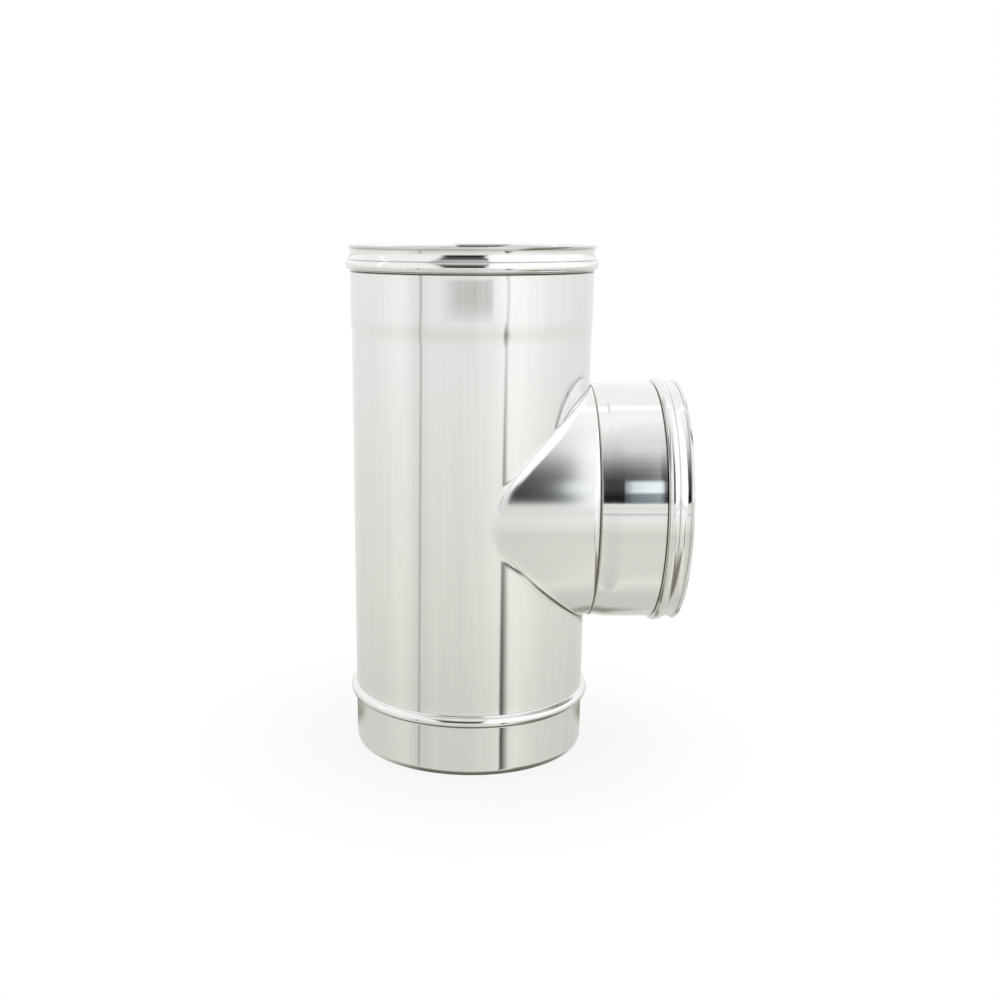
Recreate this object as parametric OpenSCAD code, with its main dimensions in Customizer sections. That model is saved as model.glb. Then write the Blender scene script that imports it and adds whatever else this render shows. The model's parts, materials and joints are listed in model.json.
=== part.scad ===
// Stove pipe tee in thin stainless sheet: a straight flue tube with a socket at its top and a
// spigot at its foot, and a branch socket of the same size at a right angle. The branch is
// butt-welded to a collar that is pulled out of the tube's own wall.
// Millimetres, +Z up, origin on the tube's axis at its bottom edge, +X along the branch.

/* [Tube] */
// Outside diameter of the tube and of its male end
tube_od = 151; // [130:1:180]
// Thickness of the sheet
wall = 0.5; // [0.4:0.1:1]
// Plain tube between the stop bead's middle and the collar
plain_below = 50.5; // [20:0.5:150]
// Plain tube between the collar and the foot of the top socket's step
plain_above = 36.5; // [15:0.5:150]

/* [Male end] */
// Height of the stop bead's middle above the bottom edge
stop_bead_z = 35.5; // [28:0.5:50]
// How far the stop bead stands out of the tube
stop_bead_out = 3.5; // [2:0.1:5]
// Radius of the stop bead's round crest, outside
stop_bead_r = 3.4; // [3:0.1:5]
// Height of the curled lead-in at the bottom edge
lead_in_h = 4; // [2:0.5:8]
// How far the lead-in curls inwards
lead_in_depth = 1; // [0.5:0.1:2]

/* [Female ends] */
// Gap on the radius between a socket and the male end that it takes
fit_gap = 0.2; // [0.05:0.05:0.5]
// Depth of a socket, from its lip to the foot of its step
socket_depth = 49.5; // [40:0.5:60]
// Length of the soft step where the sheet widens into a socket
step_h = 8; // [3:0.5:12]
// Distance from a lip to the middle of its bead
bead_from_lip = 11.5; // [9:0.5:14]
// How far a socket bead stands out of the socket
socket_bead_out = 2.7; // [1.5:0.1:4]
// Radius of a socket bead's round crest, outside
socket_bead_r = 3.2; // [2.5:0.1:5]
// How far a lip flares out of the socket
lip_out = 1.5; // [0.5:0.1:3]
// Length of the flared stretch of a lip
lip_h = 4; // [2:0.5:6]
// Radius of the hollow on each side of a bead, outside
bead_foot_r = 1; // [0.6:0.1:2]

/* [Branch] */
// Radius of the collar's free edge below that of the tube
collar_inset = 0.4; // [0.3:0.1:1]
// How far the collar swells between the tube and its free edge
collar_bulge = 1.2; // [0:0.1:2]
// Reach of the round between tube and collar at the collar's two sides
side_round = 5; // [2:0.5:10]
// Reach of that round at the top and the bottom of the collar, where it is tightest
apex_round = 0.3; // [0.2:0.1:0.5]
// Length of the plain neck between the ring weld and the branch socket's step
neck_len = 5; // [1:0.5:60]
// Width of the ring weld
weld_w = 0.8; // [0.6:0.1:2]
// How far the ring weld stands out of the sheet
weld_out = 0.25; // [0.1:0.05:0.5]

/* [Fineness] */
// Facets over half of the collar's turn
collar_facets = 48; // [24:4:60]
// Facets over the tube's plain wall opposite the collar
back_facets = 48; // [24:4:72]
// Facets over the round between tube and collar
round_facets = 4; // [3:1:6]
// Points on each rounded stretch of a profile
arc_points = 8; // [4:1:12]

/* [Hidden] */
$fn = 96;

tube_r = tube_od / 2;
socket_r = tube_r + fit_gap + wall;
collar_r = tube_r - collar_inset;
// Height of the branch's axis and of the top lip above the bottom edge
branch_z = stop_bead_z + plain_below + tube_r;
total_h = branch_z + tube_r + plain_above + socket_depth;
// Clear height above and below the collar where the tube is a plain cylinder again
collar_margin = 4;
zone_low = branch_z - tube_r - collar_margin;
zone_high = branch_z + tube_r + collar_margin;
// The collar ends just outside the plane that touches the tube's side, and the weld follows it
collar_end = tube_r + apex_round + 0.1;
branch_start = collar_end + weld_w;
// Distance from the tube's axis to the branch's lip
branch_reach = branch_start + neck_len + socket_depth;
// Facets over the collar's own length
collar_rows = 4;
// The turned ends lap into the faceted zone round the collar, so that no facet lies on a round
// face: their wall swells by this much on both faces, then thins by as much inside the zone's wall
lap = wall * 0.3;
lap_h = 3;

// Points of an arc about c, from angle a0 to angle a1
function arc(c, r, a0, a1) =
    [for (i = [0:arc_points]) let (a = a0 + (a1 - a0) * i / arc_points) c + r * [cos(a), sin(a)]];

// A wall profile runs upwards as [radius, height] points on one face of the sheet. The value d
// is 0 for the outer face and the sheet's thickness for the inner one.

// Half height of a bead, from its middle to where its foot meets the straight wall
function bead_half(out, r) = sqrt(pow(r + bead_foot_r, 2) - pow(bead_foot_r - out + r, 2));

// Rolled bead: hollow foot, round crest, hollow foot
function bead(wall_r, z, out, r, d) =
    let (
        half = bead_half(out, r),
        crest = [wall_r + out - r, z],
        foot_x = wall_r + bead_foot_r,
        a = asin(half / (r + bead_foot_r))
    )
    concat(
        arc([foot_x, z - half], bead_foot_r + d, 180, 180 - a),
        arc(crest, r - d, -a, a),
        arc([foot_x, z + half], bead_foot_r + d, 180 + a, 180)
    );

// Radius of the arc that runs out by depth over a length h
function run_out_r(h, depth) = (h * h + depth * depth) / (2 * depth);

// Curled edge that leads the male end in, trimmed flat at the bottom
function lead_in(wall_r, d) =
    let (r = run_out_r(lead_in_h, lead_in_depth))
    arc([wall_r - r, lead_in_h], r - d, -asin(lead_in_h / (r - d)), 0);

// Step that widens the wall from r0 to r1 with two like arcs
function step_out(r0, r1, z, d) =
    let (r = run_out_r(step_h / 2, (r1 - r0) / 2), a = asin(step_h / 2 / r))
    concat(
        arc([r0 + r, z], r + d, 180, 180 - a),
        arc([r1 - r, z + step_h], r - d, -a, 0)
    );

// Flared lip that ends at height z, trimmed flat there
function lip(wall_r, z, d) =
    let (r = run_out_r(lip_h, lip_out))
    arc([wall_r + r, z - lip_h], r + d, 180, 180 - asin(lip_h / (r + d)));

// Socket's upper end: bead and lip
function socket_end(z, d) =
    concat(
        bead(socket_r, z - bead_from_lip, socket_bead_out, socket_bead_r, d),
        lip(socket_r, z, d)
    );

// Lapping end of a turned wall. It leaves the plain wall at z and runs in the direction dir.
function lap_end(z, dir, d) =
    let (r = tube_r - d, out = d == 0 ? lap : -lap)
    [[r, z - dir * 2 * lap_h], [r + out, z], [r - out, z + dir * lap_h]];

// Whole foot of the tube up to the collar
function foot_face(d) =
    concat(
        lead_in(tube_r, d),
        bead(tube_r, stop_bead_z, stop_bead_out, stop_bead_r, d),
        lap_end(zone_low, 1, d)
    );

// Whole head of the tube above the collar
function head_face(d) =
    concat(
        reversed(lap_end(zone_high, -1, d)),
        step_out(tube_r, socket_r, total_h - socket_depth, d),
        socket_end(total_h, d)
    );

// Branch wall, drawn along its own axis
function branch_face(d) =
    concat(
        [[collar_r - d, branch_start]],
        step_out(collar_r, socket_r, branch_reach - socket_depth, d),
        socket_end(branch_reach, d)
    );

function reversed(list) = [for (i = [len(list) - 1:-1:0]) list[i]];

// Sheet between the outer and the inner face of a wall profile, turned about Z
module turned_sheet(outer, inner) {
    rotate_extrude() polygon(concat(outer, reversed(inner)));
}

// Places what is drawn about Z on the branch's axis, with its height along +X
module on_branch_axis() {
    translate([0, 0, branch_z]) rotate([0, 90, 0]) children();
}

// Collar, as the face of the sheet that lies d below the outer one. The angle phi turns about
// the branch's axis, from the side that faces -Y over the top to the side that faces +Y.

// Radius of the collar at distance x from the tube's axis: swollen midway, collar_r at its end
function swollen(x, d) =
    let (middle = collar_end * 0.6, u = (x - middle) / (collar_end - middle))
    collar_r - d + collar_bulge * (1 - u * u);

// Distance x at which the collar meets the tube's wall, found by halving
function meeting(phi, d, low, high, n = 24) =
    let (x = (low + high) / 2, over = pow(x, 2) + pow(swollen(x, d) * cos(phi), 2) - pow(tube_r - d, 2))
    n == 0 ? x : over > 0 ? meeting(phi, d, low, x, n - 1) : meeting(phi, d, x, high, n - 1);

// Reach of the round at this angle: widest at the sides, tightest at top and bottom
function round_reach(phi) = apex_round + (side_round - apex_round) * pow(cos(phi), 2);

function on_collar(x, phi, d) = [x, -swollen(x, d) * cos(phi), swollen(x, d) * sin(phi)];

// One line of the collar, from high on the tube's wall, round the crease and out to its end.
// Heights are counted from the branch's axis.
function collar_line(phi, d, top) =
    let (
        x = meeting(phi, d, 0, tube_r),
        reach = round_reach(phi) + d * 0.5,
        crease = on_collar(x, phi, d),
        above = crease + [0, 0, reach],
        beyond = on_collar(x + reach, phi, d)
    )
    concat(
        [[crease.x, crease.y, top]],
        [for (i = [0:round_facets]) let (t = i / round_facets)
            above * pow(1 - t, 2) + crease * 2 * t * (1 - t) + beyond * t * t],
        [for (i = [1:collar_rows]) on_collar(x + reach + (collar_end - x - reach) * i / collar_rows, phi, d)]
    );

rows = round_facets + collar_rows + 2;
columns = collar_facets + 1;
half_points = rows * columns;
// Rows from here on lie on the collar and are shared by its upper and lower half at the sides
shared_row = round_facets + 1;
top_z = zone_high - branch_z;
bottom_z = zone_low - branch_z;

// Points of one face of the sheet: upper half, lower half, then the plain wall opposite
function upper_half(d, top) =
    [for (j = [0:collar_facets]) each collar_line(j * 180 / collar_facets, d, top)];

function back_columns(d) =
    let (nose = asin(meeting(0, d, 0, tube_r) / (tube_r - d)), turn = 180 + 2 * nose)
    [for (j = [1:back_facets - 1], z = [top_z, bottom_z])
        let (a = nose - turn * j / back_facets)
        [(tube_r - d) * sin(a), -(tube_r - d) * cos(a), z]];

function face_points(d) =
    concat(
        upper_half(d, top_z),
        [for (p = upper_half(d, -bottom_z)) [p.x, p.y, -p.z]],
        back_columns(d)
    );

back_start = 2 * half_points;
face_size = back_start + 2 * (back_facets - 1);

// Index of a point in the upper (side 0) or lower (side 1) half
function at(side, j, i) =
    let (shared = side == 1 && (j == 0 || j == collar_facets) && i >= shared_row)
    (shared ? 0 : side) * half_points + j * rows + i;

// Index of a point of the plain wall, at its top (end 0) or its bottom (end 1)
function plain(j, end) = back_start + 2 * (j - 1) + end;

function flipped(faces) = [for (f = faces) reversed(f)];

upper_faces = [for (j = [0:collar_facets - 1], i = [0:rows - 2])
    [at(0, j, i), at(0, j + 1, i), at(0, j + 1, i + 1), at(0, j, i + 1)]];
lower_faces = [for (j = [0:collar_facets - 1], i = [0:rows - 2])
    [at(1, j, i), at(1, j, i + 1), at(1, j + 1, i + 1), at(1, j + 1, i)]];

// Between the two rounds at the nose of the collar, in front and behind
function nose_faces(j) =
    [for (i = [1:round_facets]) i < round_facets
        ? [at(0, j, i), at(0, j, i + 1), at(1, j, i + 1), at(1, j, i)]
        : [at(0, j, i), at(0, j, i + 1), at(1, j, i)]];

// Plain wall opposite the collar. The strips beside its two noses also meet the rounds there.
back_faces = [for (j = [1:back_facets - 2])
    [plain(j, 0), plain(j, 1), plain(j + 1, 1), plain(j + 1, 0)]];
function nose_strip(j, column) =
    [[plain(column, 0), at(0, j, 0), at(0, j, 1), at(1, j, 1), at(1, j, 0), plain(column, 1)]];

outer_faces = concat(
    upper_faces,
    lower_faces,
    nose_faces(0),
    flipped(nose_faces(collar_facets)),
    back_faces,
    nose_strip(0, 1),
    flipped(nose_strip(collar_facets, back_facets - 1))
);

// Rim of the sheet at the top (end 0), at the bottom (end 1) and round the collar's end
function rim_of_zone(end) =
    concat(
        [for (j = [0:collar_facets]) at(end, j, 0)],
        [for (j = [back_facets - 1:-1:1]) plain(j, end)]
    );
rim_of_collar = concat(
    [for (j = [0:collar_facets]) at(0, j, rows - 1)],
    [for (j = [collar_facets - 1:-1:1]) at(1, j, rows - 1)]
);

function bridge(rim) =
    [for (i = [0:len(rim) - 1]) let (n = (i + 1) % len(rim))
        [rim[i], rim[i] + face_size, rim[n] + face_size, rim[n]]];

rim_faces = concat(
    bridge(rim_of_zone(0)),
    flipped(bridge(rim_of_zone(1))),
    flipped(bridge(rim_of_collar))
);

// Tube's wall round the collar, with the collar pulled out of it
module collar_zone() {
    inner_faces = [for (f = flipped(outer_faces)) [for (i = f) i + face_size]];
    translate([0, 0, branch_z])
        polyhedron(
            points = concat(face_points(0), face_points(wall)),
            faces = concat(outer_faces, inner_faces, rim_faces),
            convexity = 8
        );
}

module main_tube() {
    color("gainsboro") union() {
        turned_sheet(foot_face(0), foot_face(wall));
        turned_sheet(head_face(0), head_face(wall));
        collar_zone();
    }
}

module branch_socket() {
    color("silver") on_branch_axis() turned_sheet(branch_face(0), branch_face(wall));
}

// Ring weld that fills the joint and stands a little proud on both faces
module ring_weld() {
    crown = [for (i = [0:arc_points]) let (u = 2 * i / arc_points - 1) [u, 1 - u * u]];
    middle = collar_end + weld_w / 2;
    function side(r, out) = [for (c = crown) [r + out * c[1], middle + c[0] * weld_w / 2]];
    color("darkgray") on_branch_axis()
        turned_sheet(side(collar_r, weld_out), side(collar_r - wall, -weld_out / 2));
}

main_tube();
branch_socket();
ring_weld();
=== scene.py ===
import json
import math

import bmesh
import bpy
import numpy as np
from bpy.props import FloatProperty, FloatVectorProperty, IntProperty, PointerProperty
from mathutils import Matrix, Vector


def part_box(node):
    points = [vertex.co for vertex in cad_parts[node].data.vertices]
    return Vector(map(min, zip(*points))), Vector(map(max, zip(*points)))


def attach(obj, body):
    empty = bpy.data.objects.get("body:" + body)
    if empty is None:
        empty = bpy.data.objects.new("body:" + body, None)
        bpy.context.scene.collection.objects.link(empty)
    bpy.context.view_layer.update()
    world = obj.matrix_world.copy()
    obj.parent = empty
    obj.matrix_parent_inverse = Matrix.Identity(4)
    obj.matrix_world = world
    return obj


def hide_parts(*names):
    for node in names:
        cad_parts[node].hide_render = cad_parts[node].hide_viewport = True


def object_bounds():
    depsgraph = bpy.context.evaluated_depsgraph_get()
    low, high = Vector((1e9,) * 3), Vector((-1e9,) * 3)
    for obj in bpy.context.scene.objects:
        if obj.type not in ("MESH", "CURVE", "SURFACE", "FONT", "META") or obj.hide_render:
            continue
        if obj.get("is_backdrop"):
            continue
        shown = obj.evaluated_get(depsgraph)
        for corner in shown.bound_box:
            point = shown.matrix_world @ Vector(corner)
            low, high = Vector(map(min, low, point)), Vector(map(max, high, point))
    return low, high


bl_info = {
    "name": "Stove pipe tee",
    "version": (1, 0, 0),
    "blender": (4, 5, 0),
    "location": "View3D > Sidebar > Pipe Tee",
    "description": "Finishes a stove pipe tee of thin stainless sheet, with its weld seams and a studio",
    "category": "Add Mesh",
}

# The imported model, its box and the sizes that it gives. Everything is in metres, in the model's own
# frame: +Z up the tube, +X along the branch, the origin on the tube's axis at its bottom edge.
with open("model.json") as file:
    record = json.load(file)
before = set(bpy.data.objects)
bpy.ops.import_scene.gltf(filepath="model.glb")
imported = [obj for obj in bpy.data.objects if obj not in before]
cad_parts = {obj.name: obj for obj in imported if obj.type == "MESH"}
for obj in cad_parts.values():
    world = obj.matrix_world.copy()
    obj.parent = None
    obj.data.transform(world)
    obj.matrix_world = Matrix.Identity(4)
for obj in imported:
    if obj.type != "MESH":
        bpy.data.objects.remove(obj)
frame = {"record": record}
CAD_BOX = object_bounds()
MOUNTS = {mount["name"]: mount for mount in frame["record"]["mounts"]}
MM = 0.001
NEAR = 0.01 * MM
TUBE_R = MOUNTS["bottom_spigot"]["dims"]["r_mm"] * MM
SOCKET_BORE_R = MOUNTS["top_socket"]["dims"]["r_mm"] * MM
BRANCH_Z = MOUNTS["branch_socket"]["pos_m"][2]
TOTAL_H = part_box("main_tube")[1].z
BRANCH_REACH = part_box("branch_socket")[1].x
WELD_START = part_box("ring_weld")[0].x
WELD_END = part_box("ring_weld")[1].x
STOP_BEAD_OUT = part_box("main_tube")[1].y - TUBE_R


def linear(code):
    """Linear red, green and blue of an sRGB hex colour such as #C8C8C4."""
    values = [int(code[i:i + 2], 16) / 255 for i in (1, 3, 5)]
    return [v / 12.92 if v <= 0.04045 else ((v + 0.055) / 1.055) ** 2.4 for v in values]


def length(name, text, millimetres):
    """Property that holds one length of the object."""
    return FloatProperty(name=name, description=text, default=millimetres * MM, min=0, unit="LENGTH")


def colour(name, text, code):
    """Property that holds one colour, given as an sRGB hex value."""
    return FloatVectorProperty(
        name=name, description=text, default=linear(code), size=3, min=0, max=1, subtype="COLOR")


class SheetSizes(bpy.types.PropertyGroup):
    """Sizes of the sheet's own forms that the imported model's mounts don't give."""

    wall: length("Sheet", "Thickness of the sheet", 0.5)
    stop_bead_z: length("Stop bead height", "Height of the stop bead's middle above the bottom edge", 35.5)
    stop_bead_r: length("Stop bead round", "Radius of the stop bead's round crest", 3.4)
    lead_in_h: length("Lead-in height", "Height of the curled lead-in at the bottom edge", 4)
    lead_in_depth: length("Lead-in depth", "How far the lead-in curls inwards", 1)
    socket_depth: length("Socket depth", "Depth of a socket from its lip to the upper end of its step", 41.5)
    bead_from_lip: length("Bead from lip", "Distance from a lip to the middle of its bead", 12)
    socket_bead_out: length("Socket bead", "How far a socket's bead stands out", 2.7)
    socket_bead_r: length("Socket bead round", "Radius of a socket bead's round crest", 2.7)
    lip_out: length("Lip", "How far a lip flares out", 1.5)
    lip_h: length("Lip height", "Length of the flared stretch of a lip", 4)
    shoulder_r: length("Bead shoulder", "Radius of the round above the crest of a socket's bead", 5)
    bead_foot_r: length("Bead foot", "Radius of the hollow on each side of a bead", 1)
    collar_inset: length("Collar inset", "Radius of the collar's free edge below that of the tube", 0.4)
    collar_bulge: length("Collar bulge", "How far the collar swells between tube and weld", 1.2)
    branch_step_h: length("Branch step", "Length over which the branch's neck widens softly", 12.5)
    head_step_h: length("Head step", "Length over which the tube widens softly to its head", 16)
    side_round: length("Side round", "Reach of the round between tube and collar at its two sides", 5)
    apex_round: length("Apex round", "Reach of that round at the collar's top and bottom", 0.3)
    zone_margin: length("Clear height", "Plain height of tube above and below the collar", 4)
    arc_points: IntProperty(
        name="Arc points", description="Points on each rounded stretch of a profile",
        default=10, min=4, max=24)
    turn_columns: IntProperty(
        name="Columns", description="Columns round the tube on the side of the collar",
        default=150, min=48, max=300)


class WeldSizes(bpy.types.PropertyGroup):
    """Sizes of the weld seams."""

    crown: length("Crown", "How far the ring weld stands out of the sheet", 0.25)
    ripple: length("Ripple", "Distance from one weld ripple to the next", 1.1)
    ripple_h: length("Ripple height", "Half height of one weld ripple", 0.08)
    seam_w: length("Seam", "Width of the planished seam along the tube", 1.6)
    seam_crown: length("Seam crown", "How far the planished seam stands out of the sheet", 0.04)
    tube_seam_turn: FloatProperty(
        name="Tube seam", description="Turn of the tube's seam about its axis, in degrees from +X",
        default=135)
    branch_seam_turn: FloatProperty(
        name="Branch seam", description="Turn of the branch's seam about its axis, in degrees from +Y",
        default=-20)


class Finish(bpy.types.PropertyGroup):
    """Colours and polish of the surfaces."""

    sheet: colour("Sheet", "Bright annealed stainless steel", "#E7E7E5")
    weld: colour("Weld metal", "Fused stainless steel, a little oxidised", "#BDB9B1")
    # Painted shade: this brown is painted into the sheet's colour in the roots of beads and creases, on the
    # stop bead and at the bottom edge
    root_shade: colour("Rolling oil", "Brown residue of rolling oil in the roots of beads and creases", "#4A4238")
    floor: colour("Floor", "Plain pale studio floor", "#F2F2F0")
    polish: FloatProperty(
        name="Sheet roughness", description="Roughness of the bright sheet", default=0.09, min=0, max=1)
    satin: FloatProperty(
        name="Collar roughness", description="Roughness of the drawn collar", default=0.18, min=0, max=1)


def settings():
    """The three groups of settings: sizes, welds and finish."""
    scene = bpy.context.scene
    return scene.tee_sheet, scene.tee_weld, scene.tee_finish


# Wall profiles run upwards as (radius, height) points on one face of the sheet. The value d is 0 for
# the outer face and the sheet's thickness for the inner one.
def arc(centre, radius, start, end, count):
    """Points of an arc about a centre, from one angle to another in radians."""
    angles = np.linspace(start, end, count + 1)
    return [(centre[0] + radius * math.cos(a), centre[1] + radius * math.sin(a)) for a in angles]


def straight(r, low, high, count):
    """Points of a straight wall between two heights, both ends left out."""
    return [(r, z) for z in np.linspace(low, high, count + 1)[1:-1]]


def run_out_radius(h, depth):
    """Radius of the arc that runs out by a depth over a length."""
    return (h * h + depth * depth) / (2 * depth)


def bead_half(out, r, foot):
    """Half height of a bead, from its middle to where its foot meets the straight wall."""
    return math.sqrt((r + foot) ** 2 - (foot - out + r) ** 2)


def bead_below(wall_r, z, out, r, d, s):
    """Lower side of a bead: a tight hollow at its foot, then the round up to its crest."""
    half = bead_half(out, r, s.bead_foot_r)
    turn = math.asin(half / (r + s.bead_foot_r))
    foot = arc((wall_r + s.bead_foot_r, z - half), s.bead_foot_r + d, math.pi, math.pi - turn, s.arc_points)
    return foot + arc((wall_r + out - r, z), r - d, -turn, 0, s.arc_points)[1:]


def bead(wall_r, z, out, r, d, s):
    """Rolled bead with two like sides."""
    low = bead_below(wall_r, z, out, r, d, s)
    high = [(x, 2 * z - height) for x, height in low[-2::-1]]
    return low + high


def lead_in(wall_r, d, s):
    """Curled edge that leads the male end in, trimmed flat at the bottom."""
    r = run_out_radius(s.lead_in_h, s.lead_in_depth)
    return arc((wall_r - r, s.lead_in_h), r - d, -math.asin(s.lead_in_h / (r - d)), 0, s.arc_points)


def bead_above(wall_r, z, d, s):
    """Upper side of a socket's bead: a long round shoulder, then a long hollow up to the lip."""
    span = s.bead_from_lip - s.lip_h
    both = run_out_radius(span, s.socket_bead_out)
    turn = math.asin(span / both)
    hollow = both - s.shoulder_r
    crest = arc((wall_r + s.socket_bead_out - s.shoulder_r, z), s.shoulder_r - d, 0, turn, s.arc_points)
    return crest + arc((wall_r + hollow, z + span), hollow + d, math.pi + turn, math.pi, s.arc_points)[1:]


def step_out(r0, r1, z, h, d, s):
    """Step of height h that widens the wall from one radius to another with two like arcs."""
    r = run_out_radius(h / 2, (r1 - r0) / 2)
    turn = math.asin(h / 2 / r)
    low = arc((r0 + r, z), r + d, math.pi, math.pi - turn, s.arc_points)
    high = arc((r1 - r, z + h), r - d, -turn, 0, s.arc_points)
    return low + high[1:]


def lip(wall_r, z, d, s):
    """Flared lip that ends at height z, trimmed flat there."""
    r = run_out_radius(s.lip_h, s.lip_out)
    turn = math.asin(s.lip_h / (r + d))
    return arc((wall_r + r, z - s.lip_h), r + d, math.pi, math.pi - turn, s.arc_points)


def socket_end(z, start_z, d, s):
    """Socket's upper end: straight wall from start_z, bead and lip."""
    r = SOCKET_BORE_R + s.wall
    half = bead_half(s.socket_bead_out, s.socket_bead_r, s.bead_foot_r)
    return (
        straight(r - d, start_z, z - s.bead_from_lip - half, 5)
        + bead_below(r, z - s.bead_from_lip, s.socket_bead_out, s.socket_bead_r, d, s)
        + bead_above(r, z - s.bead_from_lip, d, s)[1:]
        + lip(r, z, d, s)[1:]
    )


def foot_profile(top_z, d, s):
    """Foot of the tube from its bottom edge up to a height on the plain wall."""
    half = bead_half(STOP_BEAD_OUT, s.stop_bead_r, s.bead_foot_r)
    return (
        lead_in(TUBE_R, d, s)
        + straight(TUBE_R - d, s.lead_in_h, s.stop_bead_z - half, 5)
        + bead(TUBE_R, s.stop_bead_z, STOP_BEAD_OUT, s.stop_bead_r, d, s)
        + straight(TUBE_R - d, s.stop_bead_z + half, top_z, 8)
    )


def head_profile(bottom_z, d, s):
    """Head of the tube from a height on the plain wall up to its lip."""
    step_end = TOTAL_H - s.socket_depth
    step_z = step_end - s.head_step_h
    return (
        straight(TUBE_R - d, bottom_z, step_z, 7)
        + step_out(TUBE_R, SOCKET_BORE_R + s.wall, step_z, s.head_step_h, d, s)
        + socket_end(TOTAL_H, step_end, d, s)
    )


def branch_profile(d, s):
    """Branch socket's wall along its own axis, from the weld to the lip."""
    neck_r = TUBE_R - s.collar_inset
    step_end = BRANCH_REACH - s.socket_depth
    step_z = step_end - s.branch_step_h
    return (
        [(neck_r - d, WELD_END)]
        + step_out(neck_r, SOCKET_BORE_R + s.wall, step_z, s.branch_step_h, d, s)
        + socket_end(BRANCH_REACH, step_end, d, s)
    )


# The collar. Heights are counted from the branch's axis here, and phi turns about that axis, from
# the side that faces -Y over the top.
def swollen(x, s):
    """Radius of the collar at distance x from the tube's axis, widest at three fifths of its reach."""
    middle = WELD_START * 0.6
    u = (x - middle) / (WELD_START - middle)
    return TUBE_R - s.collar_inset + s.collar_bulge * (1 - u * u)


def meeting(phi, s):
    """Distance x at which the collar meets the tube's wall, found by halving."""
    low = np.zeros_like(phi)
    high = np.full_like(phi, TUBE_R)
    for _ in range(40):
        x = (low + high) / 2
        over = x ** 2 + (swollen(x, s) * np.cos(phi)) ** 2 > TUBE_R ** 2
        high = np.where(over, x, high)
        low = np.where(over, low, x)
    return (low + high) / 2


def crease_blend(points, s):
    """Reach of the round between tube and collar near each point, as a difference of distances.

    It is least at the collar's top and bottom. Where the two faces run alike it would spread, so it
    shrinks there, down to a floor that keeps it above 0."""
    floor = 0.003
    ring = np.hypot(points[:, 1], points[:, 2])
    across = np.abs(points[:, 1]) / ring
    reach = s.apex_round + (s.side_round - s.apex_round) * across
    like = np.clip(across * np.abs(points[:, 1]) / np.hypot(points[:, 0], points[:, 1]), 0, 1)
    return reach * np.sqrt(np.clip(1 - like ** 2, 0, 1) + floor)


def skin(points, s):
    """Distance from the outer face of tube and collar, with the crease between them rounded."""
    tube = np.hypot(points[:, 0], points[:, 1]) - TUBE_R
    collar = np.hypot(points[:, 1], points[:, 2]) - swollen(points[:, 0], s)
    reach = crease_blend(points, s)
    share = np.clip(reach - np.abs(tube - collar), 0, None) / reach
    return np.minimum(tube, collar) - share ** 2 * reach / 4


def skin_normals(points, s):
    """Unit normals of that face."""
    steps = np.eye(3) * NEAR
    slopes = [skin(points + step, s) - skin(points - step, s) for step in steps]
    normals = np.stack(slopes, axis=1)
    return normals / np.linalg.norm(normals, axis=1)[:, None]


def seated(points, s):
    """The points moved along the face's normals until they lie on it."""
    for _ in range(12):
        points = points - skin(points, s)[:, None] * skin_normals(points, s)
    return points


def graded(count, power):
    """Shares from 0 to 1 that lie closest together near 0."""
    return np.linspace(0, 1, count + 1) ** power


def collar_grid(s, wall_rows=18, collar_rows=20, edge_rows=24):
    """Points of the outer face from the edge of the collar's zone, over the crease, to the weld.

    Returns an array of spokes by rows by 3 and the angle round the tube and height of each spoke's
    outer end. The spokes start at the zone's upper edge and go round it by way of the +Y side.
    """
    half_u = TUBE_R * math.radians(110)
    half_z = TUBE_R + s.zone_margin
    top = s.turn_columns
    u_top = np.linspace(-half_u, half_u, top + 1)
    z_side = np.linspace(half_z, -half_z, edge_rows + 1)
    edge = np.concatenate([
        np.stack([u_top, np.full(top + 1, half_z)], 1)[:-1],
        np.stack([np.full(edge_rows + 1, half_u), z_side], 1)[:-1],
        np.stack([u_top[::-1], np.full(top + 1, -half_z)], 1)[:-1],
        np.stack([np.full(edge_rows + 1, -half_u), z_side[::-1]], 1)[:-1],
    ])

    # The crease in the unrolled tube, and where each spoke crosses it
    phi = np.radians(np.linspace(0, 360, 2881)[:-1])
    x = meeting(phi, s)
    ring = swollen(x, s)
    crease_u = TUBE_R * (np.arctan2(x, ring * np.cos(phi)) - math.pi / 2)
    crease_z = ring * np.sin(phi)
    spoke_angle = np.arctan2(edge[:, 1], edge[:, 0])
    crease_angle = np.arctan2(crease_z, crease_u)
    order = np.argsort(crease_angle)
    turn = 2 * math.pi
    angles = crease_angle[order]
    wrapped = np.concatenate([angles - turn, angles, angles + turn])
    spoke_u = np.interp(spoke_angle, wrapped, np.tile(crease_u[order], 3))
    spoke_z = np.interp(spoke_angle, wrapped, np.tile(crease_z[order], 3))

    rows = []
    for share in graded(wall_rows, 1.7)[::-1]:
        u = spoke_u + (edge[:, 0] - spoke_u) * share
        z = spoke_z + (edge[:, 1] - spoke_z) * share
        theta = u / TUBE_R + math.pi / 2
        rows.append(np.stack([TUBE_R * np.sin(theta), -TUBE_R * np.cos(theta), z], 1))
    theta = spoke_u / TUBE_R + math.pi / 2
    start_x = TUBE_R * np.sin(theta)
    start_phi = np.arctan2(spoke_z, TUBE_R * np.cos(theta))
    for share in graded(collar_rows, 1.5)[1:]:
        x = start_x + (WELD_START - start_x) * share
        ring = swollen(x, s)
        rows.append(np.stack([x, -ring * np.cos(start_phi), ring * np.sin(start_phi)], 1))
    grid = np.stack(rows, 1)

    # Rows on the zone's edge and at the weld stay, the others are seated on the rounded face
    inner = grid[:, 1:-1]
    grid[:, 1:-1] = seated(inner.reshape(-1, 3), s).reshape(inner.shape)
    return grid, edge


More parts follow.
